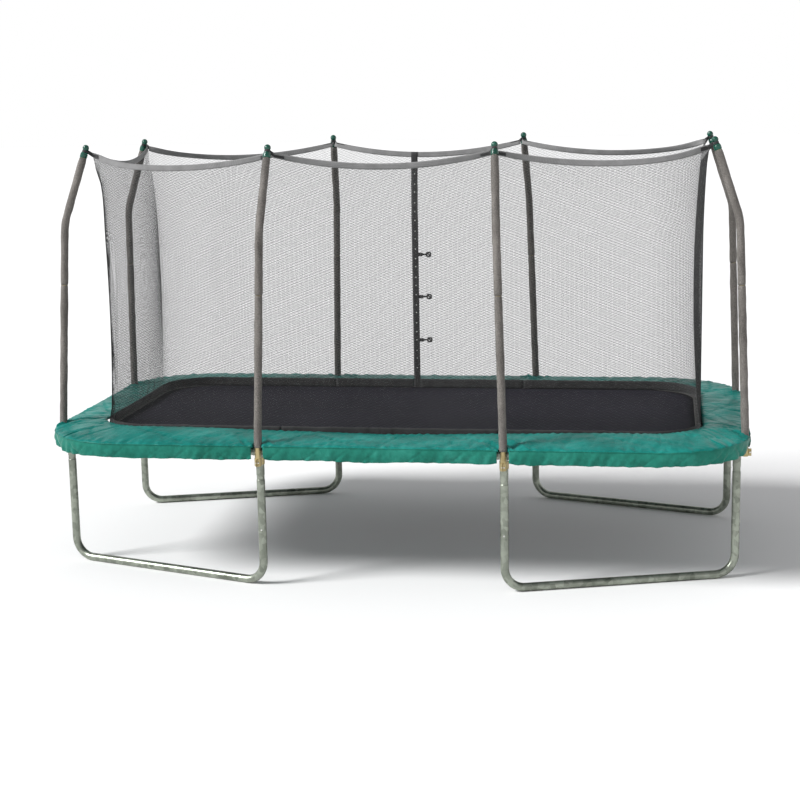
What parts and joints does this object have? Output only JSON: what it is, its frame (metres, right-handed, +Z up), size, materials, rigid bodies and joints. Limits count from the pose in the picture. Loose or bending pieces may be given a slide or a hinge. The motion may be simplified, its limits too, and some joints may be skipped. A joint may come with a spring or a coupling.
{
  "type": "trampoline",
  "caption": "Rectangular garden trampoline with bent leg frames, sprung jumping mat, green spring pad and a net enclosure hung from padded bent poles.",
  "frame": {"origin": "on the ground under the centre of the bounding box", "axes": "+X along the long side, -Y is the front, the zipped door is on the +Y side, +Z up"},
  "size_m": [4.412, 2.536, 2.6852],
  "materials": {
    "galvanised_tube": "galvanised steel tube, satin",
    "zinc_fastener": "bright zinc plate",
    "spring_steel": "zinc-plated spring wire",
    "jump_mat": "woven polypropylene, matte",
    "black_webbing": "woven webbing",
    "green_pad": "vinyl-coated cloth over foam, satin gloss",
    "green_vinyl": "vinyl-coated cloth, satin gloss",
    "zinc_pole": "yellow zinc plated tube",
    "grey_sleeve": "woven vinyl cover over foam",
    "green_cap": "moulded plastic, light gloss",
    "net_mesh": "knitted polyethylene mesh",
    "grey_hem": "woven tape",
    "zip_metal": "cast slider",
    "black_plastic": "moulded plastic"
  },
  "bodies": {
    "frame": {"leg_base_fl": "galvanised_tube", "leg_base_fr": "galvanised_tube", "leg_base_bl": "galvanised_tube", "leg_base_br": "galvanised_tube", "leg_uprights": "galvanised_tube", "t_sockets": "galvanised_tube", "rail_front": "galvanised_tube", "rail_back": "galvanised_tube", "rail_left": "galvanised_tube", "rail_right": "galvanised_tube", "rail_corners": "galvanised_tube", "leg_screws": "zinc_fastener", "socket_screws": "zinc_fastener", "clamp_bolts": "zinc_fastener", "clamp_nuts": "zinc_fastener", "springs_front": "spring_steel", "springs_back": "spring_steel", "springs_left": "spring_steel", "springs_right": "spring_steel", "springs_corner": "spring_steel", "cap_straps": "black_webbing", "door_strip": "black_webbing", "clip_tabs": "black_webbing", "net_foot": "black_webbing", "net_foot_corners": "black_webbing", "pad_front": "green_pad", "pad_back": "green_pad", "pad_left": "green_pad", "pad_right": "green_pad", "skirt_front": "green_vinyl", "skirt_back": "green_vinyl", "skirt_left": "green_vinyl", "skirt_right": "green_vinyl", "pole_lower": "zinc_pole", "pole_upper": "zinc_pole", "pole_clamps": "zinc_pole", "sleeve_lower": "grey_sleeve", "sleeve_upper": "grey_sleeve", "cap_balls": "green_cap", "cap_cups": "green_cap", "net_front": "net_mesh", "net_back_left": "net_mesh", "net_back_right": "net_mesh", "net_left": "net_mesh", "net_right": "net_mesh", "net_corner_fl": "net_mesh", "net_corner_fr": "net_mesh", "net_corner_bl": "net_mesh", "net_corner_br": "net_mesh", "net_hem": "grey_hem"},
    "mat_bed": {"mat": "jump_mat", "mat_webbing": "black_webbing", "v_rings": "spring_steel"},
    "zip": {"zip_slider": "zip_metal"},
    "clip_a": {"clip_1": "black_plastic"},
    "clip_b": {"clip_2": "black_plastic"},
    "clip_c": {"clip_3": "black_plastic"}
  },
  "joints": [
    {"name": "mat_bounce", "type": "slide", "parent": "frame", "child": "mat_bed", "axis": [0, 0, 1], "range_m": [-0.2, 0], "stiffness_N_per_m": 4000, "springref_m": 0.05, "deforming": ["springs_front", "springs_back", "springs_left", "springs_right", "springs_corner"]},
    {"name": "zip_slide", "type": "slide", "parent": "frame", "child": "zip", "axis": [0, 0, 1], "range_m": [0, 1.1]},
    {"name": "clip_1_swing", "type": "hinge", "parent": "frame", "child": "clip_a", "pos_m": [-0.04, 0.8795, 1.222], "axis": [0, 0, 1], "range_deg": [0, 120]},
    {"name": "clip_2_swing", "type": "hinge", "parent": "frame", "child": "clip_b", "pos_m": [-0.04, 0.8795, 1.535], "axis": [0, 0, 1], "range_deg": [0, 120]},
    {"name": "clip_3_swing", "type": "hinge", "parent": "frame", "child": "clip_c", "pos_m": [-0.04, 0.8795, 1.837], "axis": [0, 0, 1], "range_deg": [0, 120]}
  ]
}
